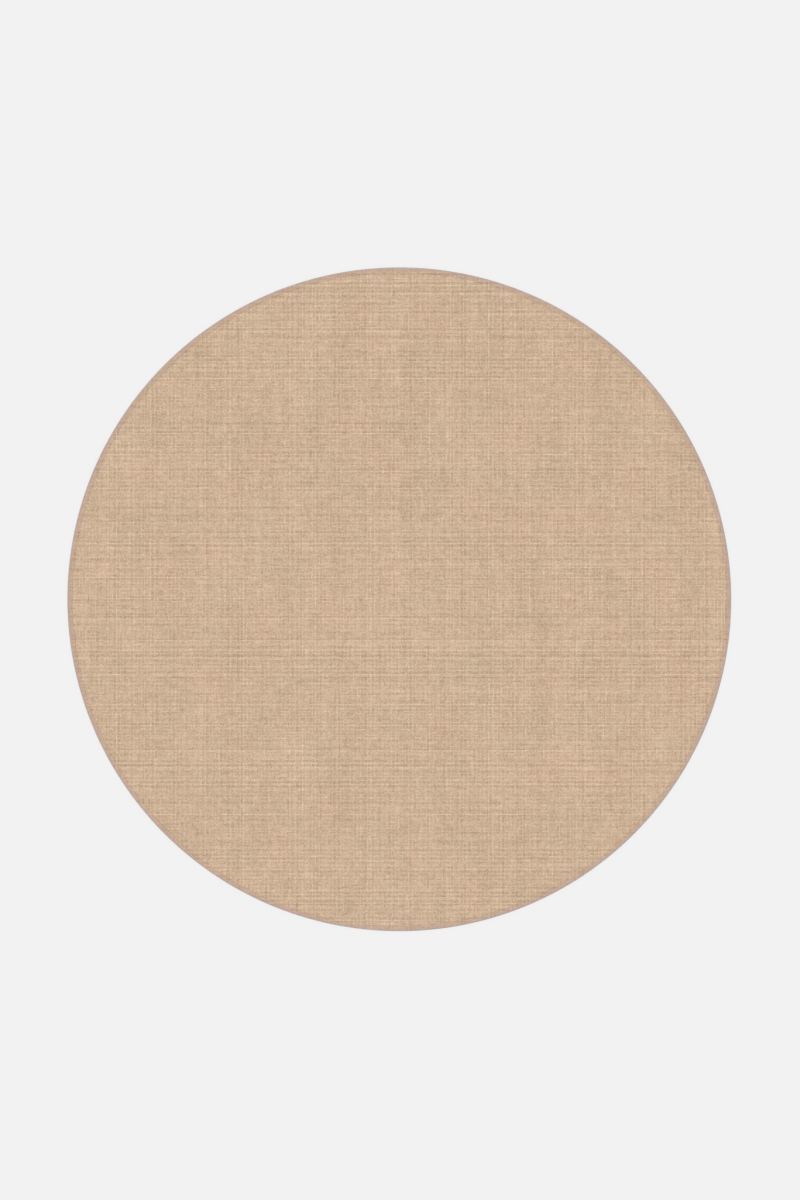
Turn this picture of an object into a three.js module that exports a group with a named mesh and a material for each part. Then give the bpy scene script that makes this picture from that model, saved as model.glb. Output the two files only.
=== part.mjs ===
// A round flat-woven rug of jute-look cloth, with a narrow tape folded over its cut edge and sewn on.
// Units are millimetres and +Z is up. The origin is the centre of the underside, where the rug meets the floor.
import * as THREE from "three";

// Driving dimensions.
const RUG_DIAMETER = 2000; // across the bound edge
const CLOTH_THICKNESS = 5; // of the open weave, away from the edge
const TAPE_SHOWN = 15; // from the rug's outline to the tape's inner edge, on both faces
const TAPE_THICKNESS = 1;
const TAPE_PROUD = 0.5; // how far the tape's upper leg stands above the cloth
const SEAT_GAP = 0.3; // between the cloth and the tape all the way round the fold
const PRESS_RUN = 4; // the ring of cloth that thins towards the tape

// How finely the round shapes are cut into facets.
const TURN_SEGMENTS = 180;
const ROUNDING_SEGMENTS = 4;

// Sizes that follow.
const rugRadius = RUG_DIAMETER / 2;
const tapeInner = rugRadius - TAPE_SHOWN;
const tapeHeight = CLOTH_THICKNESS + TAPE_PROUD;
const wrap = TAPE_THICKNESS + SEAT_GAP;
const pressedRadius = rugRadius - wrap;
const pressedLow = wrap;
const pressedHigh = tapeHeight - wrap;
const pressEnd = tapeInner - SEAT_GAP;
const pressStart = pressEnd - PRESS_RUN;

const materials = {
  cloth: new THREE.MeshStandardMaterial({ color: "#ccb297", roughness: 0.93, metalness: 0 }),
  tape: new THREE.MeshStandardMaterial({ color: "#c5a795", roughness: 0.85, metalness: 0 }),
};

// Ends a profile's run at the outer radius with a half-round nose, from the low height to the high one.
function addNose(path, radius, low, high) {
  const half = (high - low) / 2;
  path.lineTo(radius - half, low);
  path.absarc(radius - half, low + half, half, -Math.PI / 2, Math.PI / 2, false);
}

// The same nose drawn back from the high height to the low one, for the inside of the tape's fold.
function addNoseBack(path, radius, low, high) {
  const half = (high - low) / 2;
  path.lineTo(radius - half, high);
  path.absarc(radius - half, low + half, half, Math.PI / 2, -Math.PI / 2, true);
}

// Turns a profile of radius and height into a solid about the Z axis.
function turned(path) {
  const profile = path.getPoints(ROUNDING_SEGMENTS);
  return new THREE.LatheGeometry(profile, TURN_SEGMENTS).rotateX(Math.PI / 2);
}

// The woven cloth: one flat round sheet, pressed thinner where the tape grips it.
function clothGeometry() {
  const path = new THREE.Path();
  path.moveTo(0, 0);
  path.lineTo(pressStart, 0);
  path.lineTo(pressEnd, pressedLow);
  addNose(path, pressedRadius, pressedLow, pressedHigh);
  path.lineTo(pressEnd, pressedHigh);
  path.lineTo(pressStart, CLOTH_THICKNESS);
  path.lineTo(0, CLOTH_THICKNESS);
  return turned(path);
}

// The binding: a tape folded lengthways over the cloth's edge, with one leg on each face.
function tapeGeometry() {
  const path = new THREE.Path();
  path.moveTo(tapeInner, 0);
  addNose(path, rugRadius, 0, tapeHeight);
  path.lineTo(tapeInner, tapeHeight);
  path.lineTo(tapeInner, tapeHeight - TAPE_THICKNESS);
  addNoseBack(path, rugRadius - TAPE_THICKNESS, TAPE_THICKNESS, tapeHeight - TAPE_THICKNESS);
  path.lineTo(tapeInner, TAPE_THICKNESS);
  path.lineTo(tapeInner, 0);
  return turned(path);
}

function piece(name, geometry, material) {
  const mesh = new THREE.Mesh(geometry, material);
  mesh.name = name;
  return mesh;
}

const rug = new THREE.Group();
rug.add(piece("rug_cloth", clothGeometry(), materials.cloth));
rug.add(piece("edge_tape", tapeGeometry(), materials.tape));

export default rug;
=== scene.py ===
"""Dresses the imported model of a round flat-woven rug in the look of natural jute.

The cloth, the tape that is folded over its cut edge and the thread that holds the tape are modelled here,
with a plain floor, soft light and the camera. Sizes are metres in the rug's own frame: +Z is up, the origin
is the centre of the underside, the weft yarns run along X and the warp yarns along Y.
"""
import logging
import math
from dataclasses import dataclass
from enum import Enum
from functools import partial, reduce

import bpy
import numpy as np
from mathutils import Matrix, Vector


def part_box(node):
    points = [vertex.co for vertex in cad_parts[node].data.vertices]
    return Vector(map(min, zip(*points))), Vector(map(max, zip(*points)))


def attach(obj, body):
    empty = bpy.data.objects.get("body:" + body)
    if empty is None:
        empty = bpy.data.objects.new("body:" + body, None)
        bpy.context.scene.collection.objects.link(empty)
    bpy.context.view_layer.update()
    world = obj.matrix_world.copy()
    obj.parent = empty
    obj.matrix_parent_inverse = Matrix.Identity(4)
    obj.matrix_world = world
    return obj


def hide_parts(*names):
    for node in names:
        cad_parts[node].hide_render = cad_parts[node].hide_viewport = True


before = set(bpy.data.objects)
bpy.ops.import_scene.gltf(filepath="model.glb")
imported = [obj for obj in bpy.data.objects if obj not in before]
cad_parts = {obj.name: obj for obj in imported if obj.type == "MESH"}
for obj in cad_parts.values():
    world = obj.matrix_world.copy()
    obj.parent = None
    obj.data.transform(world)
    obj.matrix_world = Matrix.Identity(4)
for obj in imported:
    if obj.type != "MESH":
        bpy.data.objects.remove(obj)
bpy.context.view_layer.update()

log = logging.getLogger("rug")

MILLIMETRE = 0.001
FULL_TURN = 2 * math.pi
BODY = "root"
BAKE_MAP = "OFBake"
REAL_MAP = "RealSize"

# Types: a node's input or output, a node's outputs, what an input takes, and a colour in levels of 255.
Socket = bpy.types.NodeSocket
Outputs = bpy.types.NodeOutputs
Number = Socket | float | tuple
Levels = tuple[float, float, float]


class Slot(Enum):
    """The record's material slots."""

    CLOTH = "woven_cloth"
    TAPE = "binding_tape"
    THREAD = "sewing_thread"


class Side(Enum):
    """A face of the rug, with the direction that it looks in."""

    TOP = 1
    UNDERSIDE = -1

    def facing(self, first: np.ndarray, second: np.ndarray) -> tuple[np.ndarray, np.ndarray]:
        """Puts two rows of points in the order that turns the faces between them outwards on this side."""
        return (first, second) if self is Side.TOP else (second, first)


def shade(red: float, green: float, blue: float) -> tuple[float, float, float, float]:
    """Turns a colour as a screen shows it into the linear one that shaders use.

    Args:
        red: red level, 0 to 255.
        green: green level, 0 to 255.
        blue: blue level, 0 to 255.

    Returns:
        Linear red, green, blue and an alpha of 1.
    """
    levels = [min(max(level / 255, 0.0), 1.0) for level in (red, green, blue)]
    linear = [v / 12.92 if v <= 0.04045 else ((v + 0.055) / 1.055) ** 2.4 for v in levels]
    return (linear[0], linear[1], linear[2], 1.0)


class Graph:
    """Adds nodes to one shader tree and joins them."""

    # Brings smooth noise, which runs from 0 to 1, to a deviation near 1.
    noise_spread = 6.25

    def __init__(self, tree: bpy.types.NodeTree) -> None:
        """Keeps the tree that the nodes go into."""
        self.tree = tree

    def node(self, kind: str, **settings: object) -> bpy.types.Node:
        """Adds one node.

        Args:
            kind: the node's type name.
            settings: the node's own options.

        Returns:
            The new node.
        """
        made = self.tree.nodes.new(kind)
        for name, value in settings.items():
            setattr(made, name, value)
        return made

    def feed(self, socket: Socket, value: Number) -> None:
        """Links an input to another node, or sets it to a constant.

        Args:
            socket: the input.
            value: the other node's output, or the constant.
        """
        if isinstance(value, Socket):
            self.tree.links.new(value, socket)
        else:
            socket.default_value = value

    def filled(self, made: bpy.types.Node, *values: Number) -> Socket:
        """Feeds a node's inputs in order.

        Args:
            made: the node.
            values: what its inputs take.

        Returns:
            The node's first output.
        """
        for socket, value in zip(made.inputs, values):
            self.feed(socket, value)
        return made.outputs[0]

    def math(self, operation: str, *values: Number) -> Socket:
        """Adds one Math node and gives its result."""
        return self.filled(self.node("ShaderNodeMath", operation=operation), *values)

    def scaled(self, value: Number, factor: Number, offset: Number = 0.0) -> Socket:
        """Gives value times factor, plus offset."""
        return self.math("MULTIPLY_ADD", value, factor, offset)

    def total(self, *values: Number) -> Socket:
        """Adds up two or more values."""
        return reduce(partial(self.math, "ADD"), values)

    def product(self, *values: Number) -> Socket:
        """Multiplies two or more values."""
        return reduce(partial(self.math, "MULTIPLY"), values)

    def less(self, value: Number, taken: Number) -> Socket:
        """Takes one value from another."""
        return self.math("SUBTRACT", value, taken)

    def ratio(self, value: Number, size: Number) -> Socket:
        """Divides a value by a size."""
        return self.math("DIVIDE", value, size)

    def vector(self, x: Number, y: Number) -> Socket:
        """Joins two values into a flat vector."""
        return self.filled(self.node("ShaderNodeCombineXYZ"), x, y)

    def flat(self, vector: Socket) -> list[Socket]:
        """Splits a vector.

        Args:
            vector: the vector.

        Returns:
            Its first two values.
        """
        made = self.node("ShaderNodeSeparateXYZ")
        self.feed(made.inputs[0], vector)
        return made.outputs[:2]

    def place_on_map(self) -> list[Socket]:
        """Gives the place on the real-size map, in metres."""
        return self.flat(self.node("ShaderNodeUVMap", uv_map=REAL_MAP).outputs["UV"])

    def place_on_rug(self) -> list[Socket]:
        """Gives the place on the rug, in metres along X and along Y."""
        return self.flat(self.node("ShaderNodeTexCoord").outputs["Object"])

    def chance(self, x: Number, y: Number) -> Socket:
        """Gives an even random value, with mean 0 and deviation 1.

        Args:
            x: one of the two numbers that settle it.
            y: the other number.

        Returns:
            The value.
        """
        made = self.node("ShaderNodeTexWhiteNoise", noise_dimensions="2D")
        self.feed(made.inputs["Vector"], self.vector(x, y))
        spread = math.sqrt(12)
        return self.scaled(made.outputs["Value"], spread, -spread / 2)

    def cloud(self, x: Number, y: Number, detail: float = 0.0) -> Socket:
        """Gives smooth noise over a plane, with mean 0 and a deviation near 1.

        Args:
            x: one coordinate, in the noise's own cells.
            y: the other coordinate.
            detail: how many finer layers it has.

        Returns:
            The noise.
        """
        made = self.node("ShaderNodeTexNoise", noise_dimensions="2D")
        self.feed(made.inputs["Vector"], self.vector(x, y))
        made.inputs["Scale"].default_value = 1.0
        made.inputs["Detail"].default_value = detail
        return self.scaled(made.outputs[0], self.noise_spread, -self.noise_spread / 2)

    def group(self, tree: bpy.types.NodeTree, **values: Number) -> Outputs:
        """Places a node group.

        Args:
            tree: the group.
            values: its inputs, each named with _ for a space.

        Returns:
            The group's outputs.
        """
        made = self.node("ShaderNodeGroup", node_tree=tree)
        for name, value in values.items():
            self.feed(made.inputs[name.replace("_", " ")], value)
        return made.outputs


class Effect:
    """A shader node group that materials share, built once."""

    name = ""
    inputs: dict[str, float] = {}
    outputs: tuple[str, ...] = ()

    @classmethod
    def tree(cls) -> bpy.types.NodeTree:
        """Builds the group on first use.

        Returns:
            The group's tree.
        """
        known = bpy.data.node_groups.get(cls.name)
        if known:
            return known
        made = bpy.data.node_groups.new(cls.name, "ShaderNodeTree")
        for name, value in cls.inputs.items():
            socket = made.interface.new_socket(name, in_out="INPUT", socket_type="NodeSocketFloat")
            socket.default_value = value
        for name in cls.outputs:
            made.interface.new_socket(name, in_out="OUTPUT", socket_type="NodeSocketFloat")
        graph = Graph(made)
        found = graph.node("NodeGroupInput").outputs
        results = cls.build(graph, {name: found[name] for name in cls.inputs})
        end = graph.node("NodeGroupOutput")
        for name, value in zip(cls.outputs, results):
            graph.feed(end.inputs[name], value)
        return made

    @classmethod
    def build(cls, graph: Graph, given: dict[str, Socket]) -> tuple[Socket, ...]:
        """Adds the group's nodes and returns its outputs in order."""
        raise NotImplementedError


class YarnSet(Effect):
    """Parallel yarns: each has its own tone, and swells and fades along its length."""

    name = "YarnSet"
    inputs = {
        "Across": 0.0,
        "Along": 0.0,
        "Pitch": 0.004,
        "Seed": 0.0,
        "Single": 1.0,
        "Next": 1.0,
        "Third": 1.0,
        "Swing": 1.0,
        "Swing yarns": 5.5,
        "Long": 1.0,
        "Medium": 1.0,
        "Short": 1.0,
        "Long length": 0.3,
        "Medium length": 0.05,
        "Short length": 0.01,
    }
    outputs = ("Tone", "Yarn", "Place", "Girth")
    slubs = ("Long", "Medium", "Short")
    # Odd steps that give each yarn, pair and trio noise of its own, and how uneven trios and girths are.
    row_step = 7.31
    pair_seed = 0.71
    trio_seed = 0.37
    trio_spread = 0.35
    usual_girth = 0.98
    girth_spread = 0.05

    @classmethod
    def build(cls, graph: Graph, given: dict[str, Socket]) -> tuple[Socket, ...]:
        """Adds up the tones of a single yarn, of neighbours, of every third yarn, of the swing and of slubs.

        Args:
            graph: where the nodes go.
            given: the group's inputs.

        Returns:
            The tone, the yarn's number, the place across it from 0 to 1, and its girth, which is about 1.
        """
        seed = given["Seed"]
        place = graph.ratio(given["Across"], given["Pitch"])
        yarn = graph.math("FLOOR", place)
        row = graph.scaled(yarn, cls.row_step, seed)
        spans = {name: graph.ratio(given["Along"], given[f"{name} length"]) for name in cls.slubs}
        waves = {name: graph.cloud(span, row) for name, span in spans.items()}
        swing = graph.math("SINE", graph.product(graph.ratio(yarn, given["Swing yarns"]), FULL_TURN))
        tone = graph.total(
            graph.product(graph.chance(yarn, seed), given["Single"]),
            graph.product(cls.opposed(graph, yarn, seed), given["Next"]),
            graph.product(cls.thirds(graph, yarn, seed), given["Third"]),
            graph.product(swing, given["Swing"]),
            *(graph.product(wave, given[name]) for name, wave in waves.items()),
        )
        girth = graph.scaled(waves["Medium"], cls.girth_spread, cls.usual_girth)
        return tone, yarn, graph.math("FRACT", place), girth

    @classmethod
    def opposed(cls, graph: Graph, yarn: Socket, seed: Socket) -> Socket:
        """Gives the two yarns of each pair opposite random values.

        Args:
            graph: where the nodes go.
            yarn: the yarn's number.
            seed: the yarn set's seed.

        Returns:
            The value, with mean 0 and deviation 1.
        """
        pair = graph.math("FLOOR", graph.product(yarn, 0.5))
        sign = graph.scaled(graph.math("FLOORED_MODULO", yarn, 2.0), -2.0, 1.0)
        return graph.product(graph.chance(pair, graph.total(seed, cls.pair_seed)), sign)

    @classmethod
    def thirds(cls, graph: Graph, yarn: Socket, seed: Socket) -> Socket:
        """Picks out every third yarn, each to its own degree.

        Args:
            graph: where the nodes go.
            yarn: the yarn's number.
            seed: the yarn set's seed.

        Returns:
            About 1 on every third yarn and -0.5 on the other two, so that the mean is 0.
        """
        trio = graph.math("FLOOR", graph.ratio(yarn, 3.0))
        in_trio = graph.less(yarn, graph.product(trio, 3.0))
        heavy = graph.scaled(graph.math("MINIMUM", in_trio, 1.0), -1.5, 1.0)
        uneven = graph.chance(trio, graph.total(seed, cls.trio_seed))
        return graph.product(heavy, graph.scaled(uneven, cls.trio_spread, 1.0))


class Interlacing(Effect):
    """Two yarn sets in plain weave: each yarn is round, and waves over one yarn and under the next."""

    name = "Interlacing"
    inputs = {
        "Weft tone": 0.0,
        "Weft yarn": 0.0,
        "Weft place": 0.5,
        "Weft girth": 1.0,
        "Warp tone": 0.0,
        "Warp yarn": 0.0,
        "Warp place": 0.5,
        "Warp girth": 1.0,
        "Over": 1.0,
        "Under": 0.0,
        "Wave": 0.6,
        "Gap": 0.0,
    }
    outputs = ("Tone", "Height", "Weft on top")
    usual_height = 0.66

    @classmethod
    def build(cls, graph: Graph, given: dict[str, Socket]) -> tuple[Socket, ...]:
        """Finds the yarn on top at each place and its tone, tinged by the yarn beneath, with painted shade
        in the gaps.

        Args:
            graph: where the nodes go.
            given: the group's inputs.

        Returns:
            The tone, the height from 0 in the gaps to 1 on a yarn's crown, and whether the weft is on top.
        """
        weft = cls.surface(graph, given, "Weft", "Warp", 1.0)
        warp = cls.surface(graph, given, "Warp", "Weft", -1.0)
        weft_on_top = graph.math("GREATER_THAN", weft, warp)
        highest = graph.ratio(graph.math("MAXIMUM", weft, warp), graph.total(given["Wave"], 1.0))
        height = graph.math("MAXIMUM", highest, 0.0)
        apart = graph.product(graph.less(given["Over"], given["Under"]), weft_on_top)
        tone = graph.total(
            graph.product(given["Weft tone"], graph.total(given["Under"], apart)),
            graph.product(given["Warp tone"], graph.less(given["Over"], apart)),
            # Painted shade and light: darker where the surface dips into the gaps between yarns, lighter on
            # the crowns.
            graph.product(graph.less(height, cls.usual_height), given["Gap"]),
        )
        return tone, height, weft_on_top

    @staticmethod
    def surface(graph: Graph, given: dict[str, Socket], own: str, other: str, first: float) -> Socket:
        """Gives the height of one yarn set, round across each yarn and waving along it.

        Args:
            graph: where the nodes go.
            given: the group's inputs.
            own: the yarn set.
            other: the yarn set that it crosses.
            first: 1 if yarn 0 goes over the other set's yarn 0, or else -1.

        Returns:
            The height, in crowns.
        """
        off = graph.ratio(graph.scaled(given[f"{own} place"], 2.0, -1.0), given[f"{own} girth"])
        dome = graph.less(1.0, graph.product(off, off))
        along = graph.total(given[f"{other} yarn"], given[f"{other} place"], -0.5)
        sway = graph.math("COSINE", graph.product(along, math.pi))
        sign = graph.math("COSINE", graph.product(given[f"{own} yarn"], math.pi))
        return graph.scaled(graph.product(sway, sign, given["Wave"]), first, dome)


class Fibres(Effect):
    """Fine streaks along a yarn or thread, leaning with its twist."""

    name = "Fibres"
    inputs = {"Along": 0.0, "Across": 0.0, "Yarn": 0.0, "Length": 0.004, "Width": 0.0004, "Lean": 0.0}
    outputs = ("Streak",)
    yarn_step = 3.7

    @classmethod
    def build(cls, graph: Graph, given: dict[str, Socket]) -> tuple[Socket, ...]:
        """Stretches smooth noise along the fibres, and shifts it from yarn to yarn.

        Args:
            graph: where the nodes go.
            given: the group's inputs.

        Returns:
            The streaks, with mean 0 and a deviation near 1.
        """
        along = graph.scaled(given["Yarn"], cls.yarn_step, graph.ratio(given["Along"], given["Length"]))
        leant = graph.less(given["Across"], graph.product(given["Along"], given["Lean"]))
        return (graph.cloud(along, graph.ratio(leant, given["Width"]), detail=1.5),)


@dataclass(frozen=True)
class YarnLook:
    """How much each of a yarn set's unevennesses shows, in levels of 255, and how long its slubs are."""

    pitch: float
    seed: float
    single: float = 0.0
    next: float = 0.0
    third: float = 0.0
    swing: float = 0.0
    swing_yarns: float = 5.508
    long: float = 0.0
    medium: float = 0.0
    short: float = 0.0
    long_length: float = 0.30
    medium_length: float = 0.05
    short_length: float = 0.012

    def place(self, graph: Graph, across: Number, along: Number) -> Outputs:
        """Places the yarn set in a material and gives its outputs."""
        looks = {name.capitalize(): value for name, value in vars(self).items()}
        return graph.group(YarnSet.tree(), Across=across, Along=along, **looks)


@dataclass(frozen=True)
class Weave:
    """The two yarn sets of a plain weave: the weft runs along x and the warp along y."""

    weft: YarnLook
    warp: YarnLook

    def place(self, graph: Graph, x: Number, y: Number) -> tuple[Outputs, Outputs]:
        """Places both yarn sets in a material and gives their outputs, the weft's first."""
        return self.weft.place(graph, across=y, along=x), self.warp.place(graph, across=x, along=y)


@dataclass(frozen=True)
class Finish:
    """What every finish has: its colour, how rough and how fuzzy it is, and how far its tones reach."""

    name: str
    colour: Levels
    roughness: float = 0.9
    sheen: float = 0.0
    sheen_roughness: float = 0.6
    crown_polish: float = 0.08
    # How many levels of 255 the tones reach up and down, and what the dark and the light ones are scaled by.
    reach: float = 40.0
    darker: float = 1.1
    lighter: float = 0.93

    def start(self) -> tuple[bpy.types.Material, Graph, bpy.types.Node]:
        """Makes the material with its plain shader, which has no gloss.

        Returns:
            The material, its nodes and the shader.
        """
        material = bpy.data.materials.new(self.name)
        material.use_nodes = True
        shader = next(n for n in material.node_tree.nodes if n.type == "BSDF_PRINCIPLED")
        shader.inputs["Specular IOR Level"].default_value = 0.0
        shader.inputs["Sheen Weight"].default_value = self.sheen
        shader.inputs["Sheen Roughness"].default_value = self.sheen_roughness
        return material, Graph(material.node_tree), shader

    def paint(self, graph: Graph, shader: bpy.types.Node, tone: Number) -> None:
        """Feeds the shader's colour from a tone, in levels of 255 above or below the finish's own colour."""
        graph.feed(shader.inputs["Base Color"], self.ramp(graph, tone, self.colour))

    def blend(
        self, graph: Graph, shader: bpy.types.Node, tone: Number, share: Number, first: Levels,
        second: Levels,
    ) -> None:
        """Feeds the shader's colour from a tone and a share between two colours.

        Args:
            graph: the material's nodes.
            shader: the Principled shader.
            tone: how many levels of 255 lighter or darker.
            share: 0 for the first colour and 1 for the second.
            first: the first colour.
            second: the second colour.
        """
        mix = graph.node("ShaderNodeMix", data_type="RGBA")
        graph.feed(mix.inputs["Factor"], share)
        graph.feed(mix.inputs["A"], self.ramp(graph, tone, first))
        graph.feed(mix.inputs["B"], self.ramp(graph, tone, second))
        graph.feed(shader.inputs["Base Color"], mix.outputs["Result"])

    def ramp(self, graph: Graph, tone: Number, colour: Levels) -> Socket:
        """Makes a colour lighter or darker.

        Args:
            graph: the material's nodes.
            tone: how many levels of 255 lighter or darker.
            colour: what a tone of 0 gives.

        Returns:
            The colour.
        """
        ramp = graph.node("ShaderNodeValToRGB")
        stops = ramp.color_ramp.elements
        for place in (0.25, 0.5, 0.75):
            stops.new(place)
        for stop in stops:
            change = (2 * stop.position - 1) * self.reach
            change *= self.darker if change < 0 else self.lighter
            stop.color = shade(*(level + change for level in colour))
        graph.feed(ramp.inputs["Fac"], graph.scaled(tone, 0.5 / self.reach, 0.5))
        return ramp.outputs["Color"]

    def roughen(self, graph: Graph, shader: bpy.types.Node, height: Number) -> None:
        """Makes the crowns of the yarns a little smoother than the gaps."""
        roughest = self.roughness + self.crown_polish / 2
        graph.feed(shader.inputs["Roughness"], graph.scaled(height, -self.crown_polish, roughest))

    def raise_up(self, graph: Graph, shader: bpy.types.Node, height: Number, distance: float) -> None:
        """Feeds the shader's normal from a height.

        Args:
            graph: the material's nodes.
            shader: the Principled shader.
            height: from 0 to about 1.
            distance: what a height of 1 measures, in metres.
        """
        bump = graph.node("ShaderNodeBump")
        bump.inputs["Strength"].default_value = 1.0
        bump.inputs["Distance"].default_value = distance
        graph.feed(bump.inputs["Height"], height)
        graph.feed(shader.inputs["Normal"], bump.outputs["Normal"])


@dataclass(frozen=True, kw_only=True)
class WovenFinish(Finish):
    """A plain weave, with fibres along its yarns and patches over it.

    The painted shade of the gaps, the streak and the patches are in levels of 255, and the crown and the
    sizes in metres.
    """

    weave: Weave
    # Levels of shade painted into the gaps between yarns; the crowns get painted light from it too.
    gap: float
    crown: float
    streak: float
    streak_size: tuple[float, float]
    patches: float
    patch_size: tuple[float, float]
    # How much of its tone a yarn shows where it is on top and beneath, and how far it waves, in crowns.
    over: float = 0.85
    under: float = 0.5
    wave: float = 0.6
    streak_depth: float = 0.06
    twist: float = 0.3
    wander: float = 0.0
    wander_size: float = 0.05

    def position(self, graph: Graph) -> list[Socket]:
        """Gives the place on the cloth, in metres: along the weft, then along the warp."""
        return graph.place_on_rug()

    def material(self) -> bpy.types.Material:
        """Builds the woven material.

        Returns:
            The material.
        """
        material, graph, shader = self.start()
        x, y = self.position(graph)
        x, y = self.wandered(graph, x, y), self.wandered(graph, y, x)
        weft, warp = self.weave.place(graph, x, y)
        yarns = {
            f"{name}_{output.lower()}": found[output]
            for name, found in (("Weft", weft), ("Warp", warp))
            for output in YarnSet.outputs
        }
        woven = graph.group(
            Interlacing.tree(), Over=self.over, Under=self.under, Wave=self.wave, Gap=self.gap, **yarns
        )
        on_weft = self.fibres(graph, x, y, weft["Yarn"])
        on_warp = self.fibres(graph, y, x, warp["Yarn"])
        fibres = graph.total(graph.product(graph.less(on_weft, on_warp), woven["Weft on top"]), on_warp)
        wide, high = self.patch_size
        patches = graph.cloud(graph.ratio(x, wide), graph.ratio(y, high), detail=2.0)
        tones = (woven["Tone"], graph.product(fibres, self.streak), graph.product(patches, self.patches))
        self.paint(graph, shader, graph.total(*tones))
        self.roughen(graph, shader, woven["Height"])
        self.raise_up(graph, shader, graph.scaled(fibres, self.streak_depth, woven["Height"]), self.crown)
        return material

    def fibres(self, graph: Graph, along: Number, across: Number, yarn: Number) -> Socket:
        """Gives the streaks of the fibres along one yarn set.

        Args:
            graph: the material's nodes.
            along: the distance along the yarns.
            across: the distance over the yarns.
            yarn: the number of the yarn.

        Returns:
            The streaks, with mean 0 and a deviation near 1.
        """
        length, width = self.streak_size
        made = graph.group(
            Fibres.tree(), Along=along, Across=across, Yarn=yarn, Length=length, Width=width, Lean=self.twist
        )
        return made["Streak"]

    def wandered(self, graph: Graph, own: Number, other: Number) -> Number:
        """Moves yarns slightly off their even spacing.

        Args:
            graph: the material's nodes.
            own: the coordinate to move.
            other: the other coordinate.

        Returns:
            The moved coordinate.
        """
        if not self.wander:
            return own
        place = [graph.ratio(value, self.wander_size) for value in (own, other)]
        return graph.scaled(graph.cloud(*place), self.wander, own)


@dataclass(frozen=True, kw_only=True)
class ClothFinish(WovenFinish):
    """A coarse plain weave whose colour turns redder and greener from place to place."""

    tint: float = 5.0
    blotch: float = 1.4
    blotch_size: float = 0.15
    tint_streak: float = 1.0
    tint_streak_size: tuple[float, float] = (0.03, 0.006)

    def paint(self, graph: Graph, shader: bpy.types.Node, tone: Number) -> None:
        """Feeds the shader's colour, mixed from a colour that is less red and a redder one.

        Args:
            graph: the cloth's nodes.
            shader: the Principled shader.
            tone: how many levels of 255 lighter or darker than the colour it is.
        """
        x, y = self.position(graph)
        length, width = self.tint_streak_size
        broad = graph.cloud(graph.ratio(x, self.blotch_size), graph.ratio(y, self.blotch_size), detail=3.0)
        fine = graph.cloud(graph.ratio(x, length), graph.ratio(y, width))
        hue = graph.scaled(fine, self.tint_streak, graph.product(broad, self.blotch))
        share = graph.scaled(hue, 0.5 / self.tint, 0.5)
        red, green, blue = self.colour
        duller, redder = (red - self.tint, green, blue), (red + self.tint, green, blue)
        self.blend(graph, shader, tone, share, duller, redder)


@dataclass(frozen=True, kw_only=True)
class TapeFinish(WovenFinish):
    """A fine plain weave, greyer along the fold, through which the yarns of the cloth beneath it press."""

    beneath: Weave
    fold_colour: Levels
    show_at_edge: float = 0.68
    show_at_fold: float = 0.12
    fold_place: float = 0.017
    fold_reach: float = 0.017

    def position(self, graph: Graph) -> list[Socket]:
        """Gives the place on the unfolded tape, in metres: along it, then across it."""
        return graph.place_on_map()

    def paint(self, graph: Graph, shader: bpy.types.Node, tone: Number) -> None:
        """Feeds the shader's colour, mixed towards that of the fold.

        Args:
            graph: the tape's nodes.
            shader: the Principled shader.
            tone: how many levels of 255 lighter or darker than the colour it is.
        """
        across = self.position(graph)[1]
        away = graph.math("ABSOLUTE", graph.less(across, self.fold_place))
        ease = graph.node("ShaderNodeMapRange")
        for name, value in (("Value", away), ("From Min", self.fold_reach), ("From Max", 0.0)):
            graph.feed(ease.inputs[name], value)
        fold = ease.outputs["Result"]
        tone = graph.total(tone, self.shown_through(graph, fold))
        self.blend(graph, shader, tone, fold, self.colour, self.fold_colour)

    def shown_through(self, graph: Graph, fold: Number) -> Socket:
        """Gives the tone that the cloth's yarns lend the tape.

        Args:
            graph: the tape's nodes.
            fold: how near the fold a place is, from 0 to 1.

        Returns:
            The tone, in levels of 255.
        """
        weft, warp = self.beneath.place(graph, *graph.place_on_rug())
        strength = graph.scaled(fold, self.show_at_fold - self.show_at_edge, self.show_at_edge)
        return graph.product(graph.total(weft["Tone"], warp["Tone"]), strength)


@dataclass(frozen=True)
class ThreadFinish(Finish):
    """A twisted sewing thread, mapped along and around its length, with shade painted into the grooves of
    its twist.
    """

    twist: float = 1.1 * MILLIMETRE
    # Levels of shade painted into the twist's grooves and of light painted on its crowns.
    ply: float = 9.0
    groove: float = 0.06 * MILLIMETRE
    streak: float = 2.0
    streak_size: tuple[float, float] = (1.5 * MILLIMETRE, 0.12 * MILLIMETRE)

    def material(self) -> bpy.types.Material:
        """Builds the thread's material.

        Returns:
            The material.
        """
        material, graph, shader = self.start()
        along, around = graph.place_on_map()
        turns = graph.ratio(graph.total(along, around), self.twist)
        wave = graph.math("SINE", graph.product(turns, FULL_TURN))
        length, width = self.streak_size
        fibres = graph.group(Fibres.tree(), Along=along, Across=around, Length=length, Width=width)["Streak"]
        # Painted shade and light: the ply's tone follows the bump's wave, darker in the grooves and lighter
        # on the crowns.
        tone = graph.total(graph.product(wave, self.ply), graph.product(fibres, self.streak))
        height = graph.scaled(wave, 0.5, 0.5)
        self.paint(graph, shader, tone)
        self.roughen(graph, shader, height)
        self.raise_up(graph, shader, height, self.groove)
        return material


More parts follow.
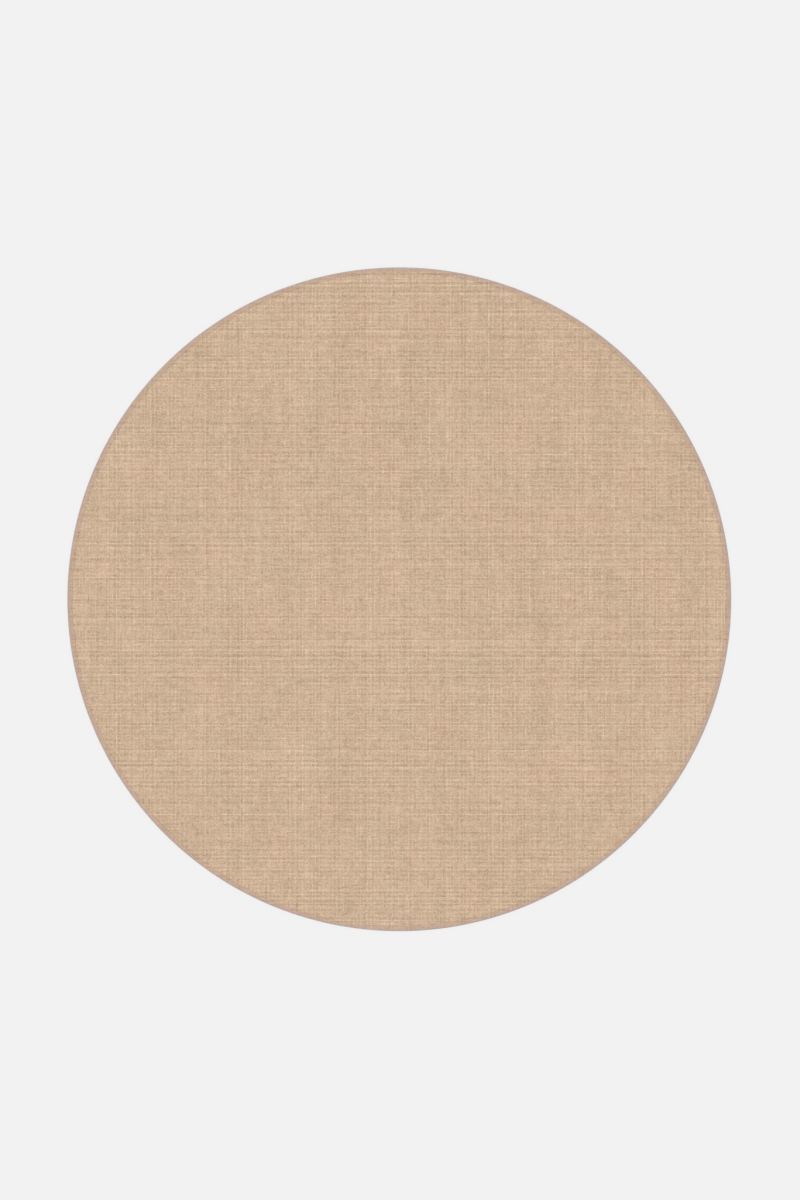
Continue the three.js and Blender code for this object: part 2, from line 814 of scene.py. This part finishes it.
@dataclass(frozen=True)
class FloorFinish(Finish):
    """A pale plain floor, part of whose light is its own, so that shadows stay faint on it."""

    own_light: float = 0.6

    def material(self) -> bpy.types.Material:
        """Builds the floor's material.

        Returns:
            The material.
        """
        material, _, shader = self.start()
        pale = shade(*self.colour)
        lit = [level * (1 - self.own_light) for level in pale[:3]]
        shader.inputs["Roughness"].default_value = 1.0
        shader.inputs["Base Color"].default_value = (*lit, 1.0)
        shader.inputs["Emission Color"].default_value = pale
        shader.inputs["Emission Strength"].default_value = self.own_light
        return material


class Points:
    """Gathers the points and faces of one piece."""

    def __init__(self) -> None:
        """Starts with nothing."""
        self.points: list[np.ndarray] = []
        self.faces: list[list[int]] = []
        self.count = 0

    def add(self, points: np.ndarray) -> np.ndarray:
        """Adds points.

        Args:
            points: an array whose last axis is x, y and z.

        Returns:
            The points' numbers, in the same layout.
        """
        flat = points.reshape(-1, 3)
        numbers = np.arange(self.count, self.count + len(flat)).reshape(points.shape[:-1])
        self.points.append(flat)
        self.count += len(flat)
        return numbers

    def bridge(self, first: np.ndarray, second: np.ndarray, closed: bool = False) -> None:
        """Joins two equal rows of points with quads, or triangles where the rows share a point.

        Args:
            first: the numbers of one row.
            second: the numbers of the row to its left, seen along the first from outside.
            closed: whether the rows are loops.
        """
        if closed:
            first = np.append(first, first[0])
            second = np.append(second, second[0])
        quads = np.stack([first[:-1], first[1:], second[1:], second[:-1]], axis=1)
        for quad in quads.tolist():
            self.faces.append([n for place, n in enumerate(quad) if n != quad[place - 1]])

    def piece(self, name: str) -> bpy.types.Object:
        """Makes one smooth mesh object of all that was added.

        Args:
            name: the piece's name.

        Returns:
            The object, in the scene.
        """
        mesh = bpy.data.meshes.new(name)
        mesh.from_pydata(np.concatenate(self.points).tolist(), [], self.faces)
        mesh.validate()
        mesh.shade_smooth()
        made = bpy.data.objects.new(name, mesh)
        bpy.context.scene.collection.objects.link(made)
        return made


class Corners:
    """Reads a mesh's face corners, to lay out its maps."""

    def __init__(self, mesh: bpy.types.Mesh) -> None:
        """Reads which point each corner has and which corner its face starts with.

        Args:
            mesh: the mesh, with its faces made.
        """
        self.mesh = mesh
        self.point = np.empty(len(mesh.loops), dtype=np.int64)
        mesh.loops.foreach_get("vertex_index", self.point)
        starts = np.empty(len(mesh.polygons), dtype=np.int64)
        sizes = np.empty(len(mesh.polygons), dtype=np.int64)
        mesh.polygons.foreach_get("loop_start", starts)
        mesh.polygons.foreach_get("loop_total", sizes)
        self.first = np.repeat(starts, sizes)

    def unrolled(self, values: np.ndarray, period: float) -> np.ndarray:
        """Gives each corner's value without a jump inside a face.

        Args:
            values: a value for each point, which starts again after each period.
            period: the length of a period.

        Returns:
            A value for each corner.
        """
        own = values[self.point]
        start = own[self.first]
        return start + (own - start + period / 2) % period - period / 2

    def write(self, name: str, across: np.ndarray, up: np.ndarray) -> None:
        """Adds a map of the given name from each corner's first and second coordinate."""
        layer = self.mesh.uv_layers.new(name=name, do_init=False)
        layer.uv.foreach_set("vector", np.stack([across, up], axis=1).astype(np.float32).ravel())


def dress(piece: bpy.types.Object, material: bpy.types.Material) -> None:
    """Gives a piece its material and the body that it rides on, and reports it.

    Args:
        piece: the piece.
        material: its material.
    """
    piece.data.materials.append(material)
    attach(piece, BODY)
    log.info("%s: %d points, %d faces", piece.name, len(piece.data.vertices), len(piece.data.polygons))


def arc(radius: float, height: float, half: float, start: float, end: float, steps: int) -> np.ndarray:
    """Gives rows of radius and height on an arc about a centre, between angles in degrees from outwards."""
    angles = np.radians(np.linspace(start, end, steps + 1))
    return np.stack([radius + half * np.cos(angles), height + half * np.sin(angles)], axis=1)


def path_lengths(profile: np.ndarray) -> np.ndarray:
    """Gives how far along a profile each of its points is."""
    steps = np.linalg.norm(np.diff(profile, axis=0), axis=1)
    return np.concatenate([[0.0], np.cumsum(steps)])


@dataclass(frozen=True)
class Groove:
    """The dent that a line of stitches pulls into the tape, and the share of it that dips at each hole."""

    depth: float
    pucker: float

    def at(self, off: np.ndarray, turn: np.ndarray, width: float) -> np.ndarray:
        """Gives the dent's depth.

        Args:
            off: how far outside the line of stitches a place is.
            turn: the place's turn along the line, a full turn for each stitch.
            width: the dent's half width.

        Returns:
            Depths in metres.
        """
        held = np.exp(-((np.maximum(off, 0) / width) ** 2))
        pinched = np.exp(-((off / width) ** 2)) * np.cos(turn)
        return self.depth * ((1 - self.pucker) * held + self.pucker * pinched)


@dataclass(frozen=True)
class Lap:
    """The join of the tape's ends: one, folded under, lies over the other, which fades out beneath it."""

    # Where it is, in radians from +X.
    turn: float = 1.93
    length: float = 22 * MILLIMETRE
    fade: float = 8 * MILLIMETRE
    rise: float = 0.5 * MILLIMETRE
    riser: float = 0.15 * MILLIMETRE

    def start(self, step: float) -> int:
        """Gives the number of the step at which the upper end begins, for steps of a given angle."""
        return round(self.turn / step)

    def lift(self, turn: np.ndarray, step: float, radius: float) -> np.ndarray:
        """Gives how far the tape's face is lifted.

        Args:
            turn: the angle of each place.
            step: the angle of a step.
            radius: the rug's radius.

        Returns:
            Heights in metres.
        """
        past = (turn - self.start(step) * step) * radius
        share = np.clip((self.length + self.fade - past) / self.fade, 0, 1)
        return self.rise * (past > -self.riser / 2) * share ** 2 * (3 - 2 * share)


@dataclass
class EdgeTape:
    """The tape folded over the cloth's cut edge, one leg on each face, drawn in a little by its stitches."""

    radius: float
    height: float
    finish: TapeFinish
    shown: float = 15 * MILLIMETRE
    thickness: float = 1 * MILLIMETRE
    corner: float = 0.6 * MILLIMETRE
    seam_inset: float = 2.3 * MILLIMETRE
    stitches: int = 900
    steps_per_stitch: int = 4
    top_groove: Groove = Groove(0.28 * MILLIMETRE, 0.35)
    under_groove: Groove = Groove(0.6 * MILLIMETRE, 0.15)
    groove_width: float = 1.3 * MILLIMETRE
    # Where a leg has points, in half widths of the groove from the line of stitches.
    leg_points: tuple[float, ...] = (-0.8, 0.0, 0.8, 1.7)
    waver: float = 0.25 * MILLIMETRE
    # The share, the number round the rug and the shift of each wave of the inner edge.
    waves: tuple[tuple[float, int, float], ...] = ((0.5, 23, 0.7), (0.3, 57, 2.1), (0.2, 101, 4.4))
    lap: Lap = Lap()
    strips: int = 12
    # Where the bake map has the profile's start, the end of what shows, and the end of the inside.
    strip_rows: tuple[float, float, float] = (0.02, 0.84, 0.98)

    @property
    def inner_radius(self) -> float:
        """The radius of the tape's inner edge."""
        return self.radius - self.shown

    @property
    def seam_radius(self) -> float:
        """The radius of the line of stitches."""
        return self.inner_radius + self.seam_inset

    @property
    def step(self) -> float:
        """The angle from one step round the rug to the next."""
        return FULL_TURN / (self.stitches * self.steps_per_stitch)

    def turns(self) -> np.ndarray:
        """Gives the angle of each step, with one step close before the lapped end to keep that end crisp.

        Returns:
            Angles in radians.
        """
        turn = np.arange(self.stitches * self.steps_per_stitch) * self.step
        start = self.lap.start(self.step)
        turn[start - 1] = turn[start] - self.lap.riser / self.radius
        return turn

    def lift(self, turn: np.ndarray) -> np.ndarray:
        """Gives how far the lapped join lifts the tape's upper face."""
        return self.lap.lift(turn, self.step, self.radius)

    def leg(self) -> np.ndarray:
        """Gives the radii at which a leg has points between its rounded edge and the fold."""
        near = self.seam_radius + self.groove_width * np.array(self.leg_points)
        return np.append(near, self.radius - self.height)

    def outer_profile(self) -> np.ndarray:
        """Gives the profile that shows: over the face, round the fold and back along the underside.

        Returns:
            Rows of radius and height.
        """
        half = self.height / 2
        edge = self.inner_radius + self.corner
        upper = arc(edge, self.height - self.corner, self.corner, 180, 90, 2)
        lower = arc(edge, self.corner, self.corner, 270, 180, 1)
        top = np.stack([self.leg(), np.full(len(self.leg()), self.height)], axis=1)
        under = np.stack([self.leg()[::-1], np.zeros(len(self.leg()))], axis=1)
        fold = arc(self.radius - half, half, half, 90, -90, 6)
        return np.concatenate([upper, top, fold, under, lower])

    def inner_profile(self) -> np.ndarray:
        """Gives the profile inside the fold, from the lower leg's edge round to the upper leg's.

        Returns:
            Rows of radius and height.
        """
        half = self.height / 2 - self.thickness
        low = np.array([[self.inner_radius, self.thickness]])
        high = np.array([[self.inner_radius, self.height - self.thickness]])
        fold = arc(self.radius - self.thickness - half, self.height / 2, half, -90, 90, 2)
        return np.concatenate([low, fold, high])

    def drawn(self, profile: np.ndarray, turn: np.ndarray) -> np.ndarray:
        """Places the profile at each step round the rug, with its stitched groove and its slight waver.

        Args:
            profile: rows of radius and height.
            turn: the angle of each step.

        Returns:
            Points laid out by profile row, then by step.
        """
        radius, height = profile[:, :1], profile[:, 1:]
        off, stitch_turn = radius - self.seam_radius, turn * self.stitches
        above, below = height > self.height - self.thickness / 2, height < self.thickness / 2
        sunk = above * self.top_groove.at(off, stitch_turn, self.groove_width)
        raised = below * self.under_groove.at(off, stitch_turn, self.groove_width)
        # The lap lifts what shows: the upper face fully, and the fold outwards and less towards the floor.
        outside = (np.arange(len(profile)) < len(self.outer_profile()))[:, None]
        lap = self.lift(turn) * outside
        nose = np.clip((radius - self.radius) / (self.height / 2) + 1, 0, 1)
        height = height - sunk + raised + lap * height / self.height
        radius = radius + self.waver * self.wander(turn) * self.edge_share(radius) + lap * nose
        return np.stack([radius * np.cos(turn), radius * np.sin(turn), height], axis=-1)

    def edge_share(self, radius: np.ndarray) -> np.ndarray:
        """Gives how far a point follows the inner edge's waver: fully at the edge and not at the fold."""
        return np.clip((self.radius - self.height - radius) / (self.shown - self.height), 0, 1)

    def wander(self, turn: np.ndarray) -> np.ndarray:
        """Gives the inner edge's slow waver, from about -1 to 1."""
        return sum(share * np.sin(count * turn + shift) for share, count, shift in self.waves)

    def build(self) -> bpy.types.Object:
        """Makes the tape.

        Returns:
            The piece.
        """
        profile = np.concatenate([self.outer_profile(), self.inner_profile()])
        turn = self.turns()
        points = Points()
        rows = points.add(self.drawn(profile, turn))
        for first, second in zip(np.roll(rows, -1, axis=0), rows):
            points.bridge(first, second, closed=True)
        piece = points.piece("edge_binding")
        self.lay_out(piece.data, turn, profile)
        dress(piece, self.finish.material())
        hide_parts("edge_tape")
        return piece

    def lay_out(self, mesh: bpy.types.Mesh, turn: np.ndarray, profile: np.ndarray) -> None:
        """Adds the real-size map of the unfolded tape, and the bake map, which cuts it into strips.

        Args:
            mesh: the tape's mesh.
            turn: the angle of each step.
            profile: the closed profile.
        """
        corners = Corners(mesh)
        lengths = path_lengths(np.concatenate([profile, profile[:1]]))
        around = corners.unrolled(np.tile(turn, len(profile)), FULL_TURN)
        across = corners.unrolled(np.repeat(lengths[:-1], len(turn)), lengths[-1])
        corners.write(REAL_MAP, around * self.radius, across)
        shown = lengths[len(self.outer_profile()) - 1]
        rows = np.interp(across, [0, shown, lengths[-1]], self.strip_rows)
        strip = np.floor((around[corners.first] + self.step / 2) / FULL_TURN * self.strips)
        corners.write(BAKE_MAP, around / FULL_TURN * self.strips - strip, (rows + strip) / self.strips)


@dataclass
class SewnLine:
    """The stitches on one face of the tape: short lengths of thread that dive into the needle holes."""

    tape: EdgeTape
    side: Side
    finish: ThreadFinish
    thread: float = 0.75 * MILLIMETRE
    shown: float = 0.9
    skew: float = 0.09
    taper: float = 0.45
    flatness: float = 0.85
    # How high the thread's middle stands, in thicknesses, and how much of the top's groove it sinks into.
    top_stand: float = 0.22
    under_stand: float = 0.46
    top_sink: float = 0.4
    unevenness: float = 0.05 * MILLIMETRE
    seed: int = 5
    sides: int = 6
    steps: int = 6
    cell_margin: float = 0.05

    def stitch(self) -> np.ndarray:
        """Gives one stitch about its own middle: along the seam, outwards from the rug's centre, and up.

        Returns:
            Points laid out by step along the thread, then by place around it.
        """
        reach = FULL_TURN * self.tape.seam_radius / self.tape.stitches * self.shown / 2
        share = np.linspace(-1, 1, self.steps + 1)[:, None]
        girth = self.thread / 2 * (1 - self.taper * share ** 6)
        angle = np.arange(self.sides) * FULL_TURN / self.sides
        along = np.repeat(share * reach, self.sides, axis=1)
        out = girth * np.cos(angle) + along * self.skew
        up = girth * np.sin(angle) * self.flatness - self.thread * share ** 4
        return np.stack([along, out, up], axis=-1)

    def crown(self) -> float:
        """Gives the height of the thread's middle where it stands highest.

        Returns:
            The height in metres.
        """
        if self.side is Side.TOP:
            sunk = self.tape.top_groove.depth * self.top_sink
            return self.tape.height - sunk + self.thread * self.top_stand
        return self.thread * self.under_stand

    def build(self) -> bpy.types.Object:
        """Makes the line of stitches.

        Returns:
            The piece.
        """
        one = self.stitch()
        count = self.tape.stitches
        turn = ((np.arange(count) + 0.5) * FULL_TURN / count)[:, None, None]
        uneven = np.random.default_rng(self.side.value + self.seed).normal(0, self.unevenness, (count, 1, 1))
        radius = self.tape.seam_radius + one[..., 1] + uneven
        along = one[..., 0]
        x = radius * np.cos(turn) - along * np.sin(turn)
        y = radius * np.sin(turn) + along * np.cos(turn)
        lift = self.tape.lift(turn) if self.side is Side.TOP else 0 * turn
        z = self.crown() + self.side.value * one[..., 2] + lift
        points = Points()
        for rings in points.add(np.stack([x, y, z], axis=-1)):
            for first, second in zip(rings, rings[1:]):
                points.bridge(*self.side.facing(first, second), closed=True)
            for end in (rings[0][::-1], rings[-1]):
                points.faces.append(end[::self.side.value].tolist())
        piece = points.piece(f"stitches_{self.side.name.lower()}")
        self.lay_out(piece.data, one)
        dress(piece, self.finish.material())
        return piece

    def lay_out(self, mesh: bpy.types.Mesh, one: np.ndarray) -> None:
        """Adds the real-size map of the thread, and the bake map, with a cell for each stitch.

        Args:
            mesh: the stitches' mesh.
            one: the points of one stitch.
        """
        corners = Corners(mesh)
        count, rings = self.tape.stitches, len(one)
        girth = math.pi * self.thread
        along = np.tile(np.repeat(one[:, 0, 0], self.sides), count)[corners.point]
        around = corners.unrolled(np.tile(np.arange(self.sides) * girth / self.sides, rings * count), girth)
        corners.write(REAL_MAP, along, around)
        cells = math.ceil(math.sqrt(count))
        row, column = np.divmod(corners.point // (rings * self.sides), cells)
        share = 1 - 2 * self.cell_margin
        wide = self.cell_margin + share * (along / one[-1, 0, 0] + 1) / 2
        high = self.cell_margin + share * around / girth
        corners.write(BAKE_MAP, (column + wide) / cells, (row + high) / cells)


@dataclass
class WovenCloth:
    """The round cloth: a closed sheet with the weft's ribs on both faces, and a rim pressed by the tape."""

    radius: float
    thickness: float
    tape: EdgeTape
    finish: ClothFinish
    seat: float = 0.05 * MILLIMETRE
    clearance: float = 0.3 * MILLIMETRE
    press_run: float = 4 * MILLIMETRE
    rib_depth: float = 0.6 * MILLIMETRE
    rib_swell: float = 0.18 * MILLIMETRE
    slub_depth: float = 0.3
    slub_lengths: tuple[float, float, float] = (0.43, 0.21, 0.12)
    seed: int = 12
    rows_per_rib: int = 4
    columns: int = 70
    last_row: float = 3.2 * MILLIMETRE
    # The bake map's discs: the top's width, and the sum of both widths at which they touch in a square.
    top_share: float = 0.92
    touching: float = 1.1716
    map_margin: float = 0.004

    @property
    def field_radius(self) -> float:
        """The radius at which the cloth starts to thin towards the tape."""
        return self.tape.inner_radius - self.clearance - self.press_run

    @property
    def pitch(self) -> float:
        """The distance from one weft yarn to the next."""
        return self.finish.weave.weft.pitch

    @property
    def rib(self) -> float:
        """The distance from one rib to the next: three weft yarns."""
        return 3 * self.pitch

    def relief(self, x: np.ndarray, y: np.ndarray, side: Side) -> np.ndarray:
        """Gives how far the surface lies under its highest level, with slubs of its own on each rib.

        Args:
            x: distances along the weft.
            y: distances across it.
            side: the face.

        Returns:
            Depths in metres.
        """
        place = (y - self.pitch / 2) / self.rib
        wave = 0.5 - 0.5 * np.cos(FULL_TURN * place)
        outermost = math.ceil(self.radius / self.rib)
        draw = np.random.default_rng(self.seed + side.value)
        phases = draw.uniform(0, FULL_TURN, (2 * outermost + 1, len(self.slub_lengths)))
        own = phases[np.round(place).astype(int) + outermost]
        slub = np.cos(FULL_TURN * x[:, None] / np.array(self.slub_lengths) + own).mean(axis=1)
        hold = 1 - np.clip((np.hypot(x, y) - self.field_radius) / (2 * self.press_run), 0, 1)
        trough = self.rib_depth * wave * (1 + self.slub_depth * slub)
        crest = self.rib_swell * (1 - wave) * (0.5 - 0.5 * slub)
        return hold * (trough + crest)

    def face_rows(self) -> list[np.ndarray]:
        """Gives a face's rows of points along the weft, from the lowest y to the highest.

        Returns:
            Arrays of x and y. The first and the last row are arcs on the field's rim.
        """
        step = self.rib / self.rows_per_rib
        start = self.pitch / 2
        limit = self.field_radius - self.last_row
        low, high = math.ceil((-limit - start) / step), math.floor((limit - start) / step)
        share = np.linspace(-1, 1, self.columns + 1)
        rows = []
        for y in start + step * np.arange(low, high + 1):
            reach = math.sqrt(self.field_radius ** 2 - y ** 2)
            rows.append(np.stack([share * reach, np.full(len(share), y)], axis=1))
        for place, sign in ((0, -1), (len(rows) + 1, 1)):
            x = share * rows[place - (place > 0)][-1, 0]
            rows.insert(place, np.stack([x, sign * np.sqrt(self.field_radius ** 2 - x ** 2)], axis=1))
        return rows

    def rim_profile(self) -> np.ndarray:
        """Gives the rim under the tape, from the top of the field to the underside.

        Returns:
            Rows of radius and height.
        """
        wrap = self.tape.thickness + self.seat
        high, low = self.tape.height - wrap, wrap
        end = self.tape.inner_radius - self.seat
        half = (high - low) / 2
        upper = np.array([[end - 0.5 * self.press_run, (self.thickness + high) / 2], [end, high]])
        lower = np.array([[end, low], [end - 0.5 * self.press_run, low / 2]])
        return np.concatenate([upper, arc(self.radius - half, (high + low) / 2, half, 90, -90, 2), lower])

    def build(self) -> bpy.types.Object:
        """Makes the cloth.

        Returns:
            The piece.
        """
        points = Points()
        rows = self.face_rows()
        loops = {}
        for side in Side:
            numbers = self.add_face(points, rows, side)
            # Up the rows' right ends, back along the last row, down the left ends and along the first row.
            loops[side] = np.concatenate(
                [[row[-1] for row in numbers[1:-1]], numbers[-1][-2:0:-1],
                 [row[0] for row in numbers[-2:0:-1]], numbers[0][1:-1]]
            ).astype(np.int64)
        self.add_rim(points, loops)
        piece = points.piece("woven_cloth")
        self.lay_out(piece.data)
        dress(piece, self.finish.material())
        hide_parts("rug_cloth")
        return piece

    def add_face(self, points: Points, rows: list[np.ndarray], side: Side) -> list[np.ndarray]:
        """Adds the points and faces of the top or the underside.

        Args:
            points: the cloth's points.
            rows: the face's rows of x and y.
            side: the face.

        Returns:
            The numbers of each row's points.
        """
        numbers = []
        for place, row in enumerate(rows):
            depth = self.relief(row[:, 0], row[:, 1], side)
            z = self.thickness - depth if side is Side.TOP else depth
            row_points = np.column_stack([row, z])
            if 0 < place < len(rows) - 1:
                numbers.append(points.add(row_points))
            else:
                numbers.append(points.add(row_points[1:-1]))
        numbers[0] = np.concatenate([numbers[1][:1], numbers[0], numbers[1][-1:]])
        numbers[-1] = np.concatenate([numbers[-2][:1], numbers[-1], numbers[-2][-1:]])
        for first, second in zip(numbers, numbers[1:]):
            points.bridge(*side.facing(first, second))
        return numbers

    def add_rim(self, points: Points, loops: dict[Side, np.ndarray]) -> None:
        """Adds the rim, from the top face's edge to the underside's.

        Args:
            points: the cloth's points.
            loops: the numbers of each face's edge points, anticlockwise.
        """
        edge = np.concatenate(points.points)[loops[Side.TOP]]
        turn = np.arctan2(edge[:, 1], edge[:, 0])
        middle = self.thickness / 2
        previous = loops[Side.TOP]
        for radius, height in self.rim_profile():
            x, y = radius * np.cos(turn), radius * np.sin(turn)
            side = Side.TOP if height > middle else Side.UNDERSIDE
            z = height - side.value * self.relief(x, y, side)
            ring = points.add(np.stack([x, y, z], axis=1))
            points.bridge(ring, previous, closed=True)
            previous = ring
        points.bridge(loops[Side.UNDERSIDE], previous, closed=True)

    def lay_out(self, mesh: bpy.types.Mesh) -> None:
        """Adds the bake map, with the top as a large disc and the underside as a small one beside it.

        Args:
            mesh: the cloth's mesh.
        """
        corners = Corners(mesh)
        place = np.empty(len(mesh.vertices) * 3)
        mesh.vertices.foreach_get("co", place)
        place = place.reshape(-1, 3)[corners.point]
        starts, sizes = np.unique(corners.first, return_counts=True)
        heights = np.add.reduceat(place[:, 2], starts) / sizes
        on_top = np.repeat(heights > self.thickness / 2, sizes)
        size = np.where(on_top, self.top_share, self.touching - self.top_share - self.map_margin)
        centre = np.where(on_top, self.top_share / 2, 1 - size / 2)
        flat = place[:, :2] / (2 * self.radius * (1 + self.map_margin))
        corners.write(BAKE_MAP, centre + size * flat[:, 0], centre + size * flat[:, 1])


@dataclass
class Studio:
    """The floor, the light and the camera of a straight-down product shot. Angles are in degrees."""

    # How much the picture takes in from top to bottom, and what the lens and its sensor are, in millimetres.
    frame_height: float = 3.615
    lens: float = 85.0
    sensor: float = 36.0
    rug_shift: tuple[float, float] = (0.0022, -0.0022)
    rug_top: float = 5.5 * MILLIMETRE
    floor_size: float = 60.0
    floor_drop: float = 0.2 * MILLIMETRE
    background: float = 242.0
    dome: float = 0.62
    key: float = 0.38
    key_lean: float = 16.0
    key_turn: float = 135.0
    key_spread: float = 35.0

    def build(self) -> None:
        """Adds the floor, the light and the camera."""
        self.add_floor()
        self.add_dome()
        self.add_key()
        self.add_camera()

    def add_floor(self) -> None:
        """Adds the plain pale floor just under the rug."""
        half = self.floor_size / 2
        points = Points()
        corners = np.array([[-half, -half], [half, -half], [-half, half], [half, half]])
        rows = points.add(np.column_stack([corners, np.full(4, -self.floor_drop)]).reshape(2, 2, 3))
        points.bridge(rows[0], rows[1])
        floor = points.piece("floor")
        level = self.background
        floor.data.materials.append(FloorFinish("pale floor", (level, level, level)).material())

    def add_dome(self) -> None:
        """Adds the soft light from all round, which the camera sees as pale as the floor."""
        world = bpy.data.worlds.new("soft dome")
        world.use_nodes = True
        bpy.context.scene.world = world
        graph = Graph(world.node_tree)
        world.node_tree.nodes.clear()
        light, seen = graph.node("ShaderNodeBackground"), graph.node("ShaderNodeBackground")
        light.inputs["Color"].default_value = (1.0, 1.0, 1.0, 1.0)
        light.inputs["Strength"].default_value = self.dome
        seen.inputs["Color"].default_value = shade(*[self.background] * 3)
        mix = graph.node("ShaderNodeMixShader")
        graph.feed(mix.inputs[0], graph.node("ShaderNodeLightPath").outputs["Is Camera Ray"])
        graph.feed(mix.inputs[1], light.outputs[0])
        graph.feed(mix.inputs[2], seen.outputs[0])
        graph.feed(graph.node("ShaderNodeOutputWorld").inputs["Surface"], mix.outputs[0])

    def add_key(self) -> None:
        """Adds the broad soft light from above, leaning in from the upper left."""
        lean, turn = math.radians(self.key_lean), math.radians(self.key_turn)
        lamp = bpy.data.lights.new("key", "SUN")
        lamp.angle = math.radians(self.key_spread)
        lamp.energy = self.key * math.pi / math.cos(lean)
        key = bpy.data.objects.new("key", lamp)
        key.rotation_euler = (0.0, lean, turn)
        key.location = (0.0, 0.0, 4.0)
        bpy.context.scene.collection.objects.link(key)

    def add_camera(self) -> None:
        """Adds the camera, straight above the rug, and the plain view of its colours."""
        scene = bpy.context.scene
        lens = bpy.data.cameras.new("camera")
        lens.lens = self.lens
        lens.sensor_width = self.sensor
        lens.clip_end = 200.0
        camera = bpy.data.objects.new("camera", lens)
        away = self.lens / self.sensor * self.frame_height
        camera.location = (self.rug_shift[0], self.rug_shift[1], self.rug_top + away)
        scene.collection.objects.link(camera)
        scene.camera = camera
        scene.view_settings.view_transform = "Standard"
        scene.cycles.use_denoising = False


@dataclass
class Rug:
    """The whole rug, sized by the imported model."""

    cloth_finish: ClothFinish
    tape_finish: TapeFinish
    thread_finish: ThreadFinish

    def build(self) -> list[bpy.types.Object]:
        """Returns:
            The pieces, in the order they were made.
        """
        tape_box, cloth_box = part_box("edge_tape"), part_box("rug_cloth")
        tape = EdgeTape(tape_box[1].x, tape_box[1].z, self.tape_finish)
        cloth = WovenCloth(cloth_box[1].x, cloth_box[1].z, tape, self.cloth_finish)
        woven = cloth.build()
        binding = tape.build()
        threads = [SewnLine(tape, side, self.thread_finish).build() for side in Side]
        return [woven, binding, *threads]


CLOTH = ClothFinish(
    name="jute-look cloth",
    colour=(208.6, 181.2, 152.9),
    roughness=0.93,
    sheen=0.1,
    weave=Weave(
        weft=YarnLook(
            4.25 * MILLIMETRE, seed=3.0, single=2.4, next=4.0, third=4.75, swing=3.1,
            long=2.4, medium=3.1, short=4.6, long_length=0.11, medium_length=0.035, short_length=0.005,
        ),
        warp=YarnLook(
            4.25 * MILLIMETRE, seed=8.0, single=2.2, next=3.1, third=2.75,
            long=1.3, medium=3.0, short=7.4, long_length=0.2, medium_length=0.045, short_length=0.005,
        ),
    ),
    # Shade painted into the gaps between yarns, and light on their crowns, in levels of 255.
    gap=30.0,
    crown=0.8 * MILLIMETRE,
    streak=5.0,
    streak_size=(6 * MILLIMETRE, 0.5 * MILLIMETRE),
    wander=0.25 * MILLIMETRE,
    patches=1.6,
    patch_size=(0.09, 0.3),
)

TAPE = TapeFinish(
    name="binding tape",
    colour=(201.5, 171.5, 145.5),
    fold_colour=(189.0, 168.0, 159.0),
    roughness=0.85,
    sheen=0.05,
    weave=Weave(
        weft=YarnLook(0.55 * MILLIMETRE, seed=5.0, single=1.5, medium=1.0),
        warp=YarnLook(0.55 * MILLIMETRE, seed=6.0, single=1.5, medium=1.0),
    ),
    beneath=CLOTH.weave,
    # Shade painted into the gaps between the tape's yarns, and light on their crowns, in levels of 255.
    gap=9.0,
    crown=0.12 * MILLIMETRE,
    streak=1.5,
    streak_size=(1.5 * MILLIMETRE, 0.12 * MILLIMETRE),
    patches=1.0,
    patch_size=(0.05, 0.05),
)

THREAD = ThreadFinish(name="sewing thread", colour=(218.0, 193.0, 171.0), roughness=0.7)


def main() -> None:
    """Builds the rug and its studio."""
    logging.basicConfig(level=logging.INFO, format="%(name)s: %(message)s")
    Studio().build()
    pieces = Rug(CLOTH, TAPE, THREAD).build()
    log.info("%d pieces", len(pieces))


if __name__ == "__main__":
    main()
